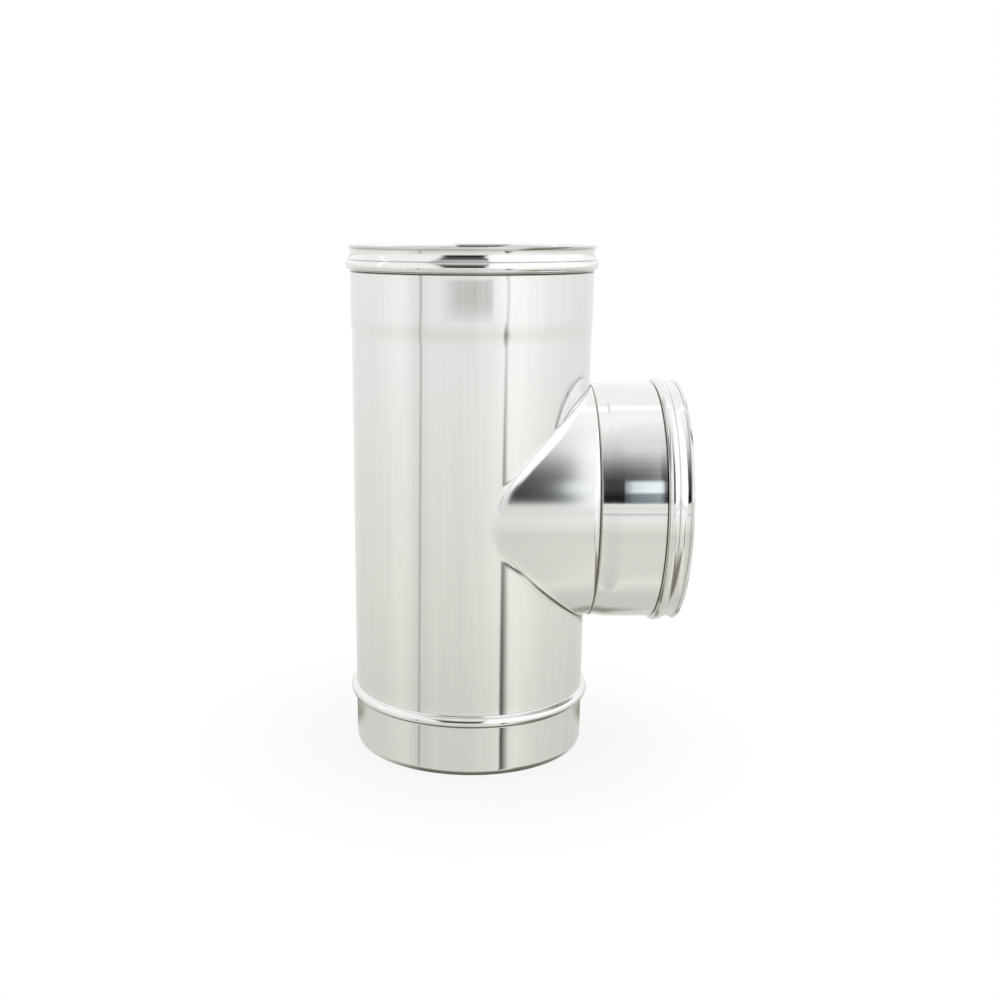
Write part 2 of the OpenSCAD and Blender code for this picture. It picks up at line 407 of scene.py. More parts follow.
def collar_marks(points, s):
    """Two shares at each point: satin of the drawn collar, and painted shade in the root of its lower
    crease.

    The satin grows over the first 1.5 mm past the crease. The painted shade in the root is 0.7 mm wide
    to each side of the crease, and fades in from 18 to 30 degrees below the collar's side."""
    local = points - np.array([0, 0, BRANCH_Z])
    phi = np.arctan2(local[:, 2], np.abs(local[:, 1]))
    past = local[:, 0] - meeting(phi, s)
    near = (local[:, 0] > 0) & (np.abs(local[:, 2]) < TUBE_R + s.zone_margin / 2)
    satin = np.where(near, np.clip(past / (1.5 * MM), 0, 1), 0)
    below = np.clip((-phi - math.radians(18)) / math.radians(12), 0, 1)
    # Painted shade along the lower crease, laid in brown by the sheet's material
    root = np.where(near, below * np.clip(1 - np.abs(past) / (0.7 * MM), 0, 1), 0)
    return satin, root


def tube_mesh(s):
    """Main tube's sheet: both faces, its head and foot turned, its wall pulled out into the collar."""
    half_z = TUBE_R + s.zone_margin
    low_z, high_z = BRANCH_Z - half_z, BRANCH_Z + half_z
    grid, edge = collar_grid(s)
    spokes, rows = grid.shape[:2]
    top = s.turn_columns
    edge_rows = (spokes - 2 * top) // 2
    front = edge[:top + 1, 0] / TUBE_R + math.pi / 2
    back_count = 60
    back = np.linspace(front[-1], front[0] + 2 * math.pi, back_count + 1)[1:-1]
    thetas = np.concatenate([front, back])
    columns = len(thetas)
    sines, cosines = np.sin(thetas), -np.cos(thetas)
    points, faces, rims = [], [], []

    def put(block):
        """Adds points and returns their indices in the block's own shape."""
        start = sum(len(p) for p in points)
        points.append(block.reshape(-1, 3))
        return np.arange(start, start + block.size // 3).reshape(block.shape[:-1])

    def quads(index, closed):
        """Adds the faces of a grid of indices, columns by rows."""
        following = np.roll(index, -1, axis=0) if closed else index[1:]
        current = index if closed else index[:-1]
        ring = [current[:, :-1], following[:, :-1], following[:, 1:], current[:, 1:]]
        faces.append(np.stack([r.ravel() for r in ring], 1))

    for d in (0, s.wall):
        zone = grid
        if d:
            inward = skin_normals(grid.reshape(-1, 3), s) * d
            zone = grid - inward.reshape(grid.shape)
            zone[:, -1, 0] = WELD_START
        zone_index = put(zone + np.array([0, 0, BRANCH_Z]))
        side_z = edge[top:top + edge_rows + 1, 1] + BRANCH_Z
        parts = {}
        for name, profile in (("head", head_profile(high_z, d, s)), ("foot", foot_profile(low_z, d, s))):
            r, z = np.array(profile).T
            block = np.stack([np.outer(sines, r), np.outer(cosines, r), np.tile(z, (columns, 1))], -1)
            parts[name] = put(block)
        ring_r = TUBE_R - d
        plain = np.stack([
            np.outer(np.sin(back), np.full(edge_rows + 1, ring_r)),
            np.outer(-np.cos(back), np.full(edge_rows + 1, ring_r)),
            np.tile(side_z[::-1], (len(back), 1)),
        ], -1)
        plain_index = put(plain)

        # The zone's edge, as rings of indices that head and foot share
        outer_end = zone_index[:, 0]
        upper = np.concatenate([outer_end[:top + 1], plain_index[:, -1]])
        lower_front = outer_end[top + edge_rows:2 * top + edge_rows + 1][::-1]
        lower = np.concatenate([lower_front, plain_index[:, 0]])
        left_edge = np.concatenate([outer_end[2 * top + edge_rows:], outer_end[:1]])
        right_edge = outer_end[top:top + edge_rows + 1][::-1]
        wall_columns = np.concatenate([right_edge[None], plain_index, left_edge[None]])
        parts["head"] = np.concatenate([upper[:, None], parts["head"]], 1)
        parts["foot"] = np.concatenate([parts["foot"], lower[:, None]], 1)
        start = len(faces)
        quads(parts["head"], True)
        quads(parts["foot"], True)
        quads(wall_columns, False)
        quads(zone_index[::-1], True)
        if d:
            faces[start:] = [f[:, ::-1] for f in faces[start:]]
        rims.append((parts["head"][:, -1], parts["foot"][:, 0], zone_index[:, -1]))
    for number, (a, b) in enumerate(zip(*rims)):
        rim = np.stack([a, np.roll(a, -1), np.roll(b, -1), b], 1)
        faces.append(rim if number == 0 else rim[:, ::-1])
    return np.concatenate(points), np.concatenate(faces)


def new_object(name, points, edges, faces):
    """Mesh object of that name in the scene, at the origin."""
    mesh = bpy.data.meshes.new(name)
    mesh.from_pydata(np.asarray(points).tolist(), edges, np.asarray(faces).tolist())
    piece = bpy.data.objects.new(name, mesh)
    bpy.context.scene.collection.objects.link(piece)
    return piece


def finish_mesh(mesh):
    """Turns the faces outwards, and makes them smooth with sharp rims."""
    sharp_from = math.radians(40)
    built = bmesh.new()
    built.from_mesh(mesh)
    bmesh.ops.recalc_face_normals(built, faces=built.faces)
    for face in built.faces:
        face.smooth = True
    for edge in built.edges:
        edge.smooth = edge.calc_face_angle(0) < sharp_from
    built.to_mesh(mesh)
    built.free()


def true_normals(mesh, points, s):
    """Gives the tube's wall the normals of its true surface, so that what it mirrors runs straight.

    Outside the collar's zone they are turned into the radial plane, and inside it they are those of
    the rounded face. A zero leaves the mesh's own normal, as on the inner face and at the rims."""
    built = np.empty(len(points) * 3, np.float32)
    mesh.vertex_normals.foreach_get("vector", built)
    built = built.reshape(-1, 3)
    radial = points * (1, 1, 0) / np.hypot(points[:, 0], points[:, 1])[:, None]
    level = np.hypot(built[:, 0], built[:, 1]) * np.sign((built * radial).sum(axis=1))
    normals = radial * level[:, None] + built * (0, 0, 1)
    local = points - np.array([0, 0, BRANCH_Z])
    zone = np.abs(local[:, 2]) < TUBE_R + s.zone_margin + NEAR
    normals[zone] = 0
    outer = zone & (local[:, 0] > 0) & (np.abs(skin(local, s)) < s.wall / 4)
    normals[outer] = skin_normals(local[outer], s)
    plain = zone & (local[:, 0] <= 0)
    normals[plain] = (radial * np.sign(level)[:, None])[plain]
    rims = (points[:, 2] < NEAR) | (points[:, 2] > TOTAL_H - NEAR)
    normals[rims | (points[:, 0] > WELD_START - NEAR)] = 0
    mesh.normals_split_custom_set_from_vertices(normals.tolist())


def seat(piece, material, node=None):
    """Gives a finished piece its material and its body, in place of a CAD node."""
    piece.data.materials.clear()
    piece.data.materials.append(material)
    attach(piece, "root")
    if node:
        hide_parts(node)


def add(tree, kind, inputs=None, **values):
    """Adds a node of this kind, sets its own values, and sets or links its inputs."""
    node = tree.nodes.new(kind)
    for name, value in values.items():
        setattr(node, name, value)
    for name, value in (inputs or {}).items():
        if isinstance(value, bpy.types.NodeSocket):
            tree.links.new(value, node.inputs[name])
        else:
            node.inputs[name].default_value = value
    return node


def product(tree, *values):
    """Product of any number of values."""
    result = values[0]
    for value in values[1:]:
        result = add(tree, "ShaderNodeMath", {0: result, 1: value}, operation="MULTIPLY").outputs["Value"]
    return result


# Geometry Nodes. A ripple's half length is this share of the spacing, so that ripples overlap.
RIPPLE_OVERLAP = 0.85
RING_COLUMNS = 240


def new_tree(name, inputs):
    """Geometry node group with these named inputs, and its group input's sockets."""
    tree = bpy.data.node_groups.new(name, "GeometryNodeTree")
    for socket, kind in inputs:
        tree.interface.new_socket(socket, in_out="INPUT", socket_type=kind)
    tree.interface.new_socket("Result", in_out="OUTPUT", socket_type="NodeSocketGeometry")
    return tree, add(tree, "NodeGroupInput").outputs


def end_tree(tree, geometry, material):
    """Ends a tree in Realize Instances and Set Material."""
    real = add(tree, "GeometryNodeRealizeInstances", {"Geometry": geometry}).outputs["Geometry"]
    painted = add(tree, "GeometryNodeSetMaterial", {"Geometry": real, "Material": material})
    add(tree, "NodeGroupOutput", {"Result": painted.outputs["Geometry"]})


def turned_sheet_tree():
    """Turns a closed section about the Z axis, then lays it along +X on the branch's axis.

    The section is the object's own mesh, drawn as (radius beyond the path, height downwards)."""
    tree, given = new_tree("Turned sheet", [
        ("Section", "NodeSocketGeometry"), ("Path radius", "NodeSocketFloat"), ("Columns", "NodeSocketInt"),
        ("Axis height", "NodeSocketFloat"), ("Material", "NodeSocketMaterial")])
    section = add(tree, "GeometryNodeMeshToCurve", {"Mesh": given["Section"]}).outputs["Curve"]
    path = add(tree, "GeometryNodeCurvePrimitiveCircle", {
        "Resolution": given["Columns"], "Radius": given["Path radius"]}).outputs["Curve"]
    turned = add(tree, "GeometryNodeCurveToMesh", {"Curve": path, "Profile Curve": section}).outputs["Mesh"]
    place = add(tree, "ShaderNodeCombineXYZ", {"Z": given["Axis height"]}).outputs["Vector"]
    laid = add(tree, "GeometryNodeTransform", {
        "Geometry": turned, "Translation": place, "Rotation": (0, math.pi / 2, 0)}).outputs["Geometry"]
    end_tree(tree, laid, given["Material"])
    return tree


def weld_ripple_tree():
    """Lays overlapping weld ripples along a line.

    The line is the object's own mesh, and its attribute "outward" is the sheet's normal there."""
    tree, given = new_tree("Weld ripples", [
        ("Line", "NodeSocketGeometry"), ("Spacing", "NodeSocketFloat"), ("Width", "NodeSocketFloat"),
        ("Height", "NodeSocketFloat"), ("Lift", "NodeSocketFloat"), ("Unevenness", "NodeSocketFloat"),
        ("Seed", "NodeSocketInt"), ("Material", "NodeSocketMaterial")])
    line = add(tree, "GeometryNodeMeshToCurve", {"Mesh": given["Line"]}).outputs["Curve"]
    steps = add(tree, "GeometryNodeResampleCurve", {
        "Curve": line, "Length": given["Spacing"]}, mode="LENGTH")
    outward = add(tree, "GeometryNodeInputNamedAttribute", {"Name": "outward"}, data_type="FLOAT_VECTOR")
    outward = outward.outputs["Attribute"]
    tangent = add(tree, "GeometryNodeInputTangent").outputs["Tangent"]
    facing = add(tree, "FunctionNodeAlignRotationToVector", {"Vector": outward}, axis="Z")
    turn = add(tree, "FunctionNodeAlignRotationToVector", {
        "Rotation": facing.outputs["Rotation"], "Vector": tangent}, axis="X", pivot_axis="Z")
    lift = add(tree, "ShaderNodeVectorMath", {0: outward, "Scale": given["Lift"]}, operation="SCALE")
    lifted = add(tree, "GeometryNodeSetPosition", {
        "Geometry": steps.outputs["Curve"], "Offset": lift.outputs["Vector"]}).outputs["Geometry"]
    size = add(tree, "ShaderNodeCombineXYZ", {
        "X": product(tree, given["Spacing"], RIPPLE_OVERLAP), "Y": product(tree, given["Width"], 0.5),
        "Z": given["Height"]})
    low, high = [
        add(tree, "ShaderNodeMath", {0: 1.0, 1: given["Unevenness"]}, operation=operation).outputs["Value"]
        for operation in ("SUBTRACT", "ADD")
    ]
    share = add(tree, "FunctionNodeRandomValue", {
        "Min": low, "Max": high, "Seed": given["Seed"]}, data_type="FLOAT")
    share = next(s for s in share.outputs if s.enabled)
    scale = add(tree, "ShaderNodeVectorMath", {
        0: size.outputs["Vector"], "Scale": share}, operation="SCALE").outputs["Vector"]
    drop = add(tree, "GeometryNodeMeshIcoSphere", {"Radius": 1.0, "Subdivisions": 2}).outputs["Mesh"]
    ripples = add(tree, "GeometryNodeInstanceOnPoints", {
        "Points": lifted, "Instance": drop, "Rotation": turn.outputs["Rotation"], "Scale": scale})
    end_tree(tree, ripples.outputs["Instances"], given["Material"])
    return tree


def grown(piece, tree, values):
    """Runs a node group on a piece and keeps the result as its plain mesh."""
    modifier = piece.modifiers.new("grow", "NODES")
    modifier.node_group = tree
    for item in tree.interface.items_tree:
        if item.in_out == "INPUT" and item.name in values:
            modifier[item.identifier] = values[item.name]
    graph = bpy.context.evaluated_depsgraph_get()
    mesh = bpy.data.meshes.new_from_object(piece.evaluated_get(graph))
    piece.modifiers.remove(modifier)
    mesh.name = piece.name
    piece.data = mesh
    finish_mesh(mesh)
    return piece


def turned(name, outer, inner, material):
    """Piece turned about the branch's axis from the closed section between two wall profiles."""
    points = [(r - TUBE_R, -z, 0) for r, z in outer + inner[::-1]]
    edges = [(i, (i + 1) % len(points)) for i in range(len(points))]
    return grown(new_object(name, points, edges, []), turned_sheet_tree(), {
        "Path radius": TUBE_R, "Columns": RING_COLUMNS, "Axis height": BRANCH_Z, "Material": material})


def weld_line(name, points, outward, closed):
    """Object that holds a line on the sheet with the sheet's normals along it."""
    count = len(points)
    edges = [(i, (i + 1) % count) for i in range(count if closed else count - 1)]
    line = new_object(name, points, edges, [])
    attribute = line.data.attributes.new("outward", "FLOAT_VECTOR", "POINT")
    attribute.data.foreach_set("vector", np.asarray(outward, np.float32).ravel())
    return line


def joined(pieces):
    """One piece from several, under the first one's name."""
    built = bmesh.new()
    for piece in pieces:
        built.from_mesh(piece.data)
    built.to_mesh(pieces[0].data)
    built.free()
    for piece in pieces[1:]:
        bpy.data.objects.remove(piece)
    return pieces[0]


# Materials


def soft_step(tree, value, low, high):
    """Soft step from 0 at low to 1 at high."""
    step = add(tree, "ShaderNodeMapRange", {
        "Value": value, "From Min": low, "From Max": high}, interpolation_type="SMOOTHSTEP")
    return step.outputs["Result"]


def window(tree, value, low, high, low_soft, high_soft):
    """1 between low and high, with a soft edge of its own width at each end."""
    rise = soft_step(tree, value, low - low_soft / 2, low + low_soft / 2)
    fall = soft_step(tree, value, high + high_soft / 2, high - high_soft / 2)
    return product(tree, rise, fall)


def ramp(tree, value, low, high, stops):
    """Grey value that follows the stops, pairs of a position between low and high and a brightness."""
    place = add(tree, "ShaderNodeMapRange", {"Value": value, "From Min": low, "From Max": high})
    node = add(tree, "ShaderNodeValToRGB", {"Fac": place.outputs["Result"]})
    elements = node.color_ramp.elements
    while len(elements) < len(stops):
        elements.new(0.5)
    for element, (position, grey) in zip(elements, stops):
        element.position = (position - low) / (high - low)
        element.color = (grey, grey, grey, 1)
    return node.outputs["Color"]


def layered(tree, tone, *layers):
    """Lays colours over a tone, each with its share: 0 leaves what is below it and 1 covers that."""
    for share, cover in layers:
        below, above = [c if isinstance(c, bpy.types.NodeSocket) else (*c, 1) for c in (tone, cover)]
        tone = add(tree, "ShaderNodeMix", {
            "Factor": share, "A": below, "B": above}, data_type="RGBA").outputs["Result"]
    return tone


def new_material(name):
    """Empty node material of that name, and its tree."""
    material = bpy.data.materials.new(name)
    material.use_nodes = True
    material.node_tree.nodes.clear()
    return material, material.node_tree


def stretched(tree, along, across, along_mm, across_mm, detail):
    """Noise on the rolled sheet whose grain has these two lengths in millimetres."""
    point = add(tree, "ShaderNodeCombineXYZ", {
        "X": product(tree, along, 1 / (along_mm * MM)),
        "Y": product(tree, across, 1 / (across_mm * MM))}).outputs["Vector"]
    return add(tree, "ShaderNodeTexNoise", {"Vector": point, "Scale": 1.0, "Detail": detail}).outputs["Fac"]


def bright_sheet(name, branch):
    """Bright annealed stainless sheet, cold rolled, then rolled to a tube. It gives the eye a near
    mirror with fine rolling lines along the tube and slow waves and a satin collar where the sheet was
    drawn. Brown lines of painted shade lie in the roots of the beads, on the stop bead, near the lips,
    at the bottom edge and along the collar's lower crease."""
    sheet, _, finish = settings()
    material, tree = new_material(name)
    place = add(tree, "ShaderNodeTexCoord").outputs["Object"]
    lowered = add(tree, "ShaderNodeVectorMath", {
        0: place, 1: (0, 0, BRANCH_Z if branch else 0)}, operation="SUBTRACT").outputs["Vector"]
    axes = add(tree, "ShaderNodeSeparateXYZ", {"Vector": lowered}).outputs
    along = axes["X"] if branch else axes["Z"]
    turn = add(tree, "ShaderNodeMath", {
        0: axes["Z"] if branch else axes["X"], 1: axes["Y"]}, operation="ARCTAN2").outputs["Value"]
    across = product(tree, turn, TUBE_R)
    drawn = add(tree, "ShaderNodeAttribute", attribute_name="drawn").outputs["Fac"]
    # The root attribute is painted shade along the collar's lower crease
    root = add(tree, "ShaderNodeAttribute", attribute_name="root").outputs["Fac"]
    rolled = add(tree, "ShaderNodeMath", {0: 1.0, 1: drawn}, operation="SUBTRACT").outputs["Value"]

    # Lines of painted shade, each with its height, its half width in millimetres and its strength: in the
    # root of a socket's bead, above its shoulder and under the lip, then at the foot and on the stop bead
    half = bead_half(sheet.socket_bead_out, sheet.socket_bead_r, sheet.bead_foot_r)
    end = BRANCH_REACH if branch else TOTAL_H
    lines = [
        (end - sheet.bead_from_lip - half, 0.5, 1.0), (end - 8.6 * MM, 0.3, 0.6), (end - 1.7 * MM, 0.3, 0.5)]
    if not branch:
        stop_half = bead_half(STOP_BEAD_OUT, sheet.stop_bead_r, sheet.bead_foot_r)
        lines += [
            (0.2 * MM, 0.3, 0.5), (sheet.stop_bead_z - 2.2 * MM, 0.9, 0.8),
            (sheet.stop_bead_z + stop_half, 0.1, 0.6)]
    blur = 0.7 * MM
    for line, half_w, share in lines:
        mark = product(tree, window(tree, along, line - half_w * MM, line + half_w * MM, blur, blur), share)
        root = add(tree, "ShaderNodeMath", {0: root, 1: mark}, operation="MAXIMUM").outputs["Value"]

    # Slow waves from rolling to a tube, long lines of 7 mm and rolling lines of 1.5 mm, with the height
    # of each in millimetres
    waves = stretched(tree, along, across, 90, 26, 1)
    bands = stretched(tree, along, across, 160, 7, 1)
    fine = stretched(tree, along, across, 120, 1.5, 2)
    grain = add(tree, "ShaderNodeTexNoise", {
        "Vector": place, "Scale": 1 / (1.2 * MM), "Detail": 2.0}).outputs["Fac"]
    normal = add(tree, "ShaderNodeBump", {
        "Height": waves, "Strength": 1.0, "Distance": 0.01 * MM}).outputs["Normal"]
    reliefs = ((bands, 0.006, rolled), (fine, 0.0007, rolled), (grain, 0.0012, drawn))
    for height, distance, strength in reliefs:
        normal = add(tree, "ShaderNodeBump", {
            "Height": height, "Strength": strength, "Distance": distance * MM,
            "Normal": normal}).outputs["Normal"]

    # Polish and tone: a little uneven along the rolling lines, satin on the drawn collar
    uneven = add(tree, "ShaderNodeMapRange", {
        "Value": fine, "From Min": 0.3, "From Max": 0.7,
        "To Min": finish.polish * 0.85, "To Max": finish.polish * 1.15}).outputs["Result"]
    roughness = add(tree, "ShaderNodeMix", {
        "Factor": drawn, "A": uneven, "B": finish.satin}, data_type="FLOAT").outputs["Result"]
    streaks = add(tree, "ShaderNodeMath", {0: bands, 1: fine}, operation="ADD").outputs["Value"]
    dull = product(tree, soft_step(tree, streaks, 1.4, 0.6), rolled)
    # The root share lays painted shade in brown over the sheet's tone
    tint = layered(tree, finish.sheet, (dull, [c * 0.955 for c in finish.sheet]), (root, finish.root_shade))
    surface = add(tree, "ShaderNodeBsdfPrincipled", {
        "Base Color": tint, "Metallic": 1.0, "Roughness": roughness, "Normal": normal})
    add(tree, "ShaderNodeOutputMaterial", {"Surface": surface.outputs["BSDF"]})
    return material


def weld_metal(name, brightness, roughness):
    """Stainless weld metal, fused under argon. It gives the eye fine dull ripples with a straw tint."""
    _, _, finish = settings()
    material, tree = new_material(name)
    place = add(tree, "ShaderNodeTexCoord").outputs["Object"]
    patches = add(tree, "ShaderNodeTexNoise", {
        "Vector": place, "Scale": 1 / (3 * MM), "Detail": 2.0}).outputs["Fac"]
    clean = [c * brightness for c in finish.weld]
    tint = layered(tree, [c * 0.8 for c in clean], (patches, clean))
    surface = add(tree, "ShaderNodeBsdfPrincipled", {
        "Base Color": tint, "Metallic": 1.0, "Roughness": roughness})
    add(tree, "ShaderNodeOutputMaterial", {"Surface": surface.outputs["BSDF"]})
    return material


# Operators, one for each piece and one for the stage


class TEE_OT_main_tube(bpy.types.Operator):
    """Makes the main tube's sheet with its pulled collar"""

    bl_idname = "tee.main_tube"
    bl_label = "Main tube"

    def execute(self, context):
        sheet, _, _ = settings()
        points, faces = tube_mesh(sheet)
        piece = new_object("main_tube_sheet", points, [], faces)
        finish_mesh(piece.data)
        true_normals(piece.data, points, sheet)
        # The root share is painted shade along the collar's lower crease
        for name, share in zip(("drawn", "root"), collar_marks(points, sheet)):
            attribute = piece.data.attributes.new(name, "FLOAT", "POINT")
            attribute.data.foreach_set("value", share.astype(np.float32))
        seat(piece, bright_sheet("Bright_annealed_stainless_tube", False), "main_tube")
        return {"FINISHED"}


class TEE_OT_branch_socket(bpy.types.Operator):
    """Makes the branch socket's turned sheet"""

    bl_idname = "tee.branch_socket"
    bl_label = "Branch socket"

    def execute(self, context):
        sheet, _, _ = settings()
        outer, inner = branch_profile(0, sheet), branch_profile(sheet.wall, sheet)
        material = bright_sheet("Bright_annealed_stainless_branch", True)
        piece = turned("branch_socket_sheet", outer, inner, material)
        seat(piece, material, "branch_socket")
        return {"FINISHED"}


class TEE_OT_ring_weld(bpy.types.Operator):
    """Makes the ring weld between collar and branch, with its ripples"""

    bl_idname = "tee.ring_weld"
    bl_label = "Ring weld"

    def execute(self, context):
        sheet, weld, _ = settings()
        material = weld_metal("Weld_metal_ring", brightness=1.0, roughness=0.32)
        collar_r = TUBE_R - sheet.collar_inset
        middle, half_w = (WELD_START + WELD_END) / 2, (WELD_END - WELD_START) / 2
        shares = np.linspace(-1, 1, sheet.arc_points + 1)
        crown = weld.crown - 0.5 * weld.ripple_h
        outer = [(collar_r + crown * (1 - u * u), middle + u * half_w) for u in shares]
        inner = [(collar_r - sheet.wall - crown / 2 * (1 - u * u), middle + u * half_w) for u in shares]
        core = turned("ring_weld_bead", outer, inner, material)
        angles = np.radians(np.arange(360))
        outward = np.stack([np.zeros_like(angles), -np.cos(angles), np.sin(angles)], 1)
        line = weld_line("ring_weld_ripples", outward * collar_r + (middle, 0, BRANCH_Z), outward, True)
        grown(line, weld_ripple_tree(), {
            "Spacing": weld.ripple, "Width": 2 * half_w * 1.1, "Height": weld.ripple_h,
            "Lift": weld.crown - weld.ripple_h, "Unevenness": 0.06, "Seed": 3, "Material": material})
        seat(joined([core, line]), material, "ring_weld")
        return {"FINISHED"}


class TEE_OT_seam_welds(bpy.types.Operator):
    """Makes the planished seams along the tube and the branch, on their hidden sides"""

    bl_idname = "tee.seam_welds"
    bl_label = "Seam welds"

    def execute(self, context):
        sheet, weld, _ = settings()
        material = weld_metal("Weld_metal_planished", brightness=1.6, roughness=0.24)
        tree = weld_ripple_tree()
        low_z = BRANCH_Z - TUBE_R - sheet.zone_margin
        tube = foot_profile(low_z, 0, sheet) + head_profile(low_z, 0, sheet)
        pieces = []
        side = math.radians(weld.tube_seam_turn)
        tube_side = np.array([math.cos(side), math.sin(side), 0])
        side = math.radians(weld.branch_seam_turn)
        branch_side = np.array([0, math.cos(side), math.sin(side)])
        up, along = np.eye(3)[2], np.eye(3)[0]
        seams = (
            ("seam_welds", tube, tube_side, up, 0 * up),
            ("branch_seam", branch_profile(0, sheet), branch_side, along, BRANCH_Z * up))

        # A seam stops three points short of each end, so that its last ripple stays on the sheet
        inside = slice(3, -3)
        for name, profile, across, axis, start in seams:
            line = np.array(profile)
            slope = np.gradient(line, axis=0)
            normal = np.stack([slope[:, 1], -slope[:, 0]], 1)
            normal /= np.linalg.norm(normal, axis=1)[:, None]
            points = line[:, :1] * across + line[:, 1:] * axis + start
            outward = normal[:, :1] * across + normal[:, 1:] * axis
            piece = weld_line(name, points[inside], outward[inside], False)
            pieces.append(grown(piece, tree, {
                "Spacing": weld.ripple, "Width": weld.seam_w, "Height": weld.seam_crown, "Lift": 0.0,
                "Unevenness": 0.05, "Seed": 5, "Material": material}))
        seat(joined(pieces), material)
        return {"FINISHED"}


class TEE_OT_stage(bpy.types.Operator):
    """Sets the camera, the floor and the soft light"""

    bl_idname = "tee.stage"
    bl_label = "Stage"

    def execute(self, context):
        make_camera()
        make_floor()
        make_world()
        context.scene.view_settings.view_transform = "Standard"
        return {"FINISHED"}


class TEE_PT_panel(bpy.types.Panel):
    """Lists the sizes, the finish and the steps that make the tee"""

    bl_idname = "TEE_PT_panel"
    bl_label = "Pipe Tee"
    bl_space_type = "VIEW_3D"
    bl_region_type = "UI"
    bl_category = "Pipe Tee"

    def draw(self, context):
        column = self.layout.column()
        for group in settings():
            for name in group.__annotations__:
                column.prop(group, name)
        for step in STEPS:
            column.operator(step.bl_idname)


def make_camera():
    """Camera at the photographed angle: just above the top lip, looking down a little."""
    place = (-0.0304, -0.8146, 0.3337)
    yaw, pitch, roll = math.radians(0.90), math.radians(14.43), math.radians(0.13)
    focal_px, frame_px = 1272.5, 1000
    centre_px = (443.1, 554.65)
    data = bpy.data.cameras.new("camera")
    data.sensor_width = 36
    data.lens = focal_px / frame_px * data.sensor_width
    data.shift_x = (frame_px / 2 - centre_px[0]) / frame_px
    data.shift_y = (centre_px[1] - frame_px / 2) / frame_px
    camera = bpy.data.objects.new("camera", data)
    bpy.context.scene.collection.objects.link(camera)
    turn = Matrix.Rotation(-yaw, 4, "Z") @ Matrix.Rotation(math.pi / 2 - pitch, 4, "X")
    camera.matrix_world = Matrix.Translation(place) @ turn @ Matrix.Rotation(roll, 4, "Z")
    bpy.context.scene.camera = camera


def make_floor():
    """Plain pale floor that keeps the tee's soft shadow and is white further away.

    What the sheet mirrors of it comes from the world's lower half, seen through the floor, all but a
    painted shadow behind the tee's foot and a painted dark line of shadow where it stands."""
    _, _, finish = settings()
    half = 40.0
    corners = [(-half, -half, 0), (half, -half, 0), (half, half, 0), (-half, half, 0)]
    floor = new_object("floor", corners, [], [(0, 1, 2, 3)])
    material, tree = new_material("Pale_floor")
    place = add(tree, "ShaderNodeTexCoord").outputs["Object"]
    axes = add(tree, "ShaderNodeSeparateXYZ", {"Vector": place}).outputs
    far = add(tree, "ShaderNodeVectorMath", {0: place}, operation="LENGTH").outputs["Value"]
    # Painted shadow that only mirrored rays see, as emission: grey behind the foot, and darker close round
    # it near x = 0
    back = soft_step(tree, axes["Y"], 0.0, 30 * MM)
    behind = product(tree, back, soft_step(tree, far, 140 * MM, 100 * MM))
    middle = window(tree, axes["X"], -50 * MM, 50 * MM, 40 * MM, 40 * MM)
    foot = product(tree, soft_step(tree, far, 80 * MM, 76.5 * MM), middle)
    shadow = layered(tree, linear("#A19E95"), (foot, linear("#77736A")))
    dark = add(tree, "ShaderNodeEmission", {"Color": shadow}).outputs["Emission"]
    clear = add(tree, "ShaderNodeBsdfTransparent").outputs["BSDF"]
    shaded = add(tree, "ShaderNodeMath", {0: behind, 1: foot}, operation="MAXIMUM").outputs["Value"]
    mirrored = add(tree, "ShaderNodeMixShader", {"Fac": shaded, 1: clear, 2: dark})

    rays = add(tree, "ShaderNodeLightPath").outputs
    painted = add(tree, "ShaderNodeBsdfDiffuse", {"Color": (*finish.floor, 1)}).outputs["BSDF"]
    white = add(tree, "ShaderNodeEmission", {"Color": (1, 1, 1, 1)}).outputs["Emission"]
    near_white = 0.78
    whiter = add(tree, "ShaderNodeMapRange", {
        "Value": far, "From Min": 80 * MM, "From Max": 220 * MM, "To Min": near_white},
        interpolation_type="SMOOTHSTEP").outputs["Result"]
    seen = add(tree, "ShaderNodeMixShader", {
        "Fac": product(tree, whiter, rays["Is Camera Ray"]), 1: painted, 2: white})
    blend = add(tree, "ShaderNodeMixShader", {
        "Fac": rays["Is Glossy Ray"], 1: seen.outputs["Shader"], 2: mirrored.outputs["Shader"]})
    add(tree, "ShaderNodeOutputMaterial", {"Surface": blend.outputs["Shader"]})
    floor.data.materials.append(material)
    floor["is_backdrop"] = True


# How the mirrored studio runs, as stops of an angle in degrees and a value. Heights are above eye level,
# or below it where they are negative, and azimuths run from -Y towards +X. First how dark the gap is.
GAP_DARK = (
    (13, 0.996), (21, 0.95), (29, 0.94), (36, 0.87), (44, 0.73), (52, 0.52), (60, 0.32), (68, 0.22),
    (76, 0.15), (86, 0.0))
TABLE_AROUND = (
    (-138, 0.95), (-94, 1.01), (-72, 1.09), (-64, 1.05), (-56, 0.95), (-46, 0.94), (-38, 0.99), (-24, 0.98),
    (-9, 0.97), (3, 1.01), (20, 1.08), (33, 1.22), (48, 1.18), (68, 1.06), (88, 1.01), (130, 0.93))
TABLE_LEVEL = (
    (-80, 0.76), (-60, 0.78), (-40, 0.8), (-30, 0.8), (-24, 0.77), (-20.5, 0.8), (-16.5, 0.87),
    (-10.6, 0.92), (-5, 0.97), (-2, 0.99))

# Joint on the right by height: how far it bends off, the azimuth at which it ends, how dark it is
JOINT_BEND = ((-24, 1.0), (-21, 0.0), (-15, 0.0), (-10.4, 0.3), (-5, 1.4), (-3, 2.5))
JOINT_END = ((-24, 40.3), (-17, 38.6), (-10, 33.8), (-5, 31.6))
JOINT_DARK = ((-24, 1.0), (-20, 1.0), (-16, 0.92), (-10.4, 0.8), (-7, 0.66), (-5, 0.55), (-2.5, 0.45))


